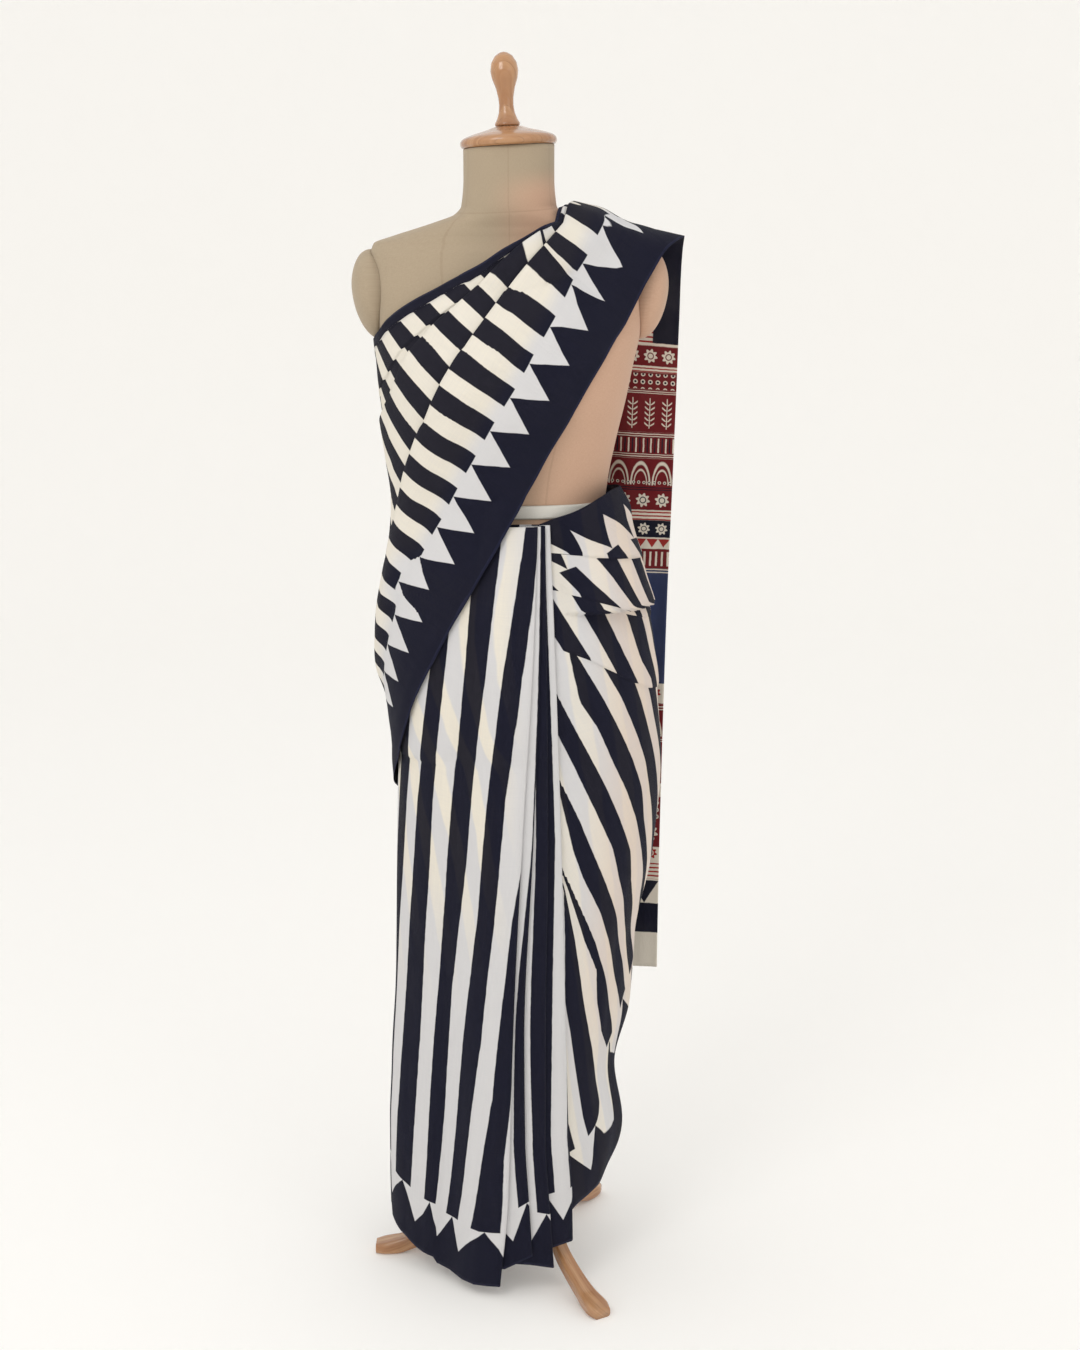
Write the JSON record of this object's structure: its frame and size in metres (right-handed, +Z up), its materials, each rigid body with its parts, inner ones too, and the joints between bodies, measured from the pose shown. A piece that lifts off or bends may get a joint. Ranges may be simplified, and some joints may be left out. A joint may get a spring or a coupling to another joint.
{
  "type": "cotton sari on dress form",
  "caption": "Striped cotton sari in a knife-pleated drape, worn on a limbless dress form with a wooden neck cap, finial and tripod stand.",
  "frame": {"origin": "on the floor under the middle of the bounding box", "axes": "+X to the viewer's right, -Y out of the form's front, +Z up"},
  "size_m": [0.4234, 0.3758, 1.6266],
  "materials": {
    "linen": "close beige linen stretched over the form",
    "wood": "light caramel, glossy varnish",
    "tape": "white woven tape",
    "cotton": "sheer soft cotton, blue-black and off-white stripes",
    "pallu": "sheer soft cotton, block-printed maroon, white and black"
  },
  "bodies": {
    "root": {"form_torso": "linen", "arm_cap_left": "linen", "arm_cap_right": "linen", "neck_cap": "wood", "finial": "wood", "waist_tape": "tape", "stand_post": "wood", "stand_hub": "wood", "leg_front": "wood", "leg_back": "wood", "leg_left": "wood", "skirt_wrap": "cotton", "front_pleats": "cotton", "hip_drape": "cotton", "bodice_drape": "cotton", "pallu": "pallu"}
  },
  "joints": []
}
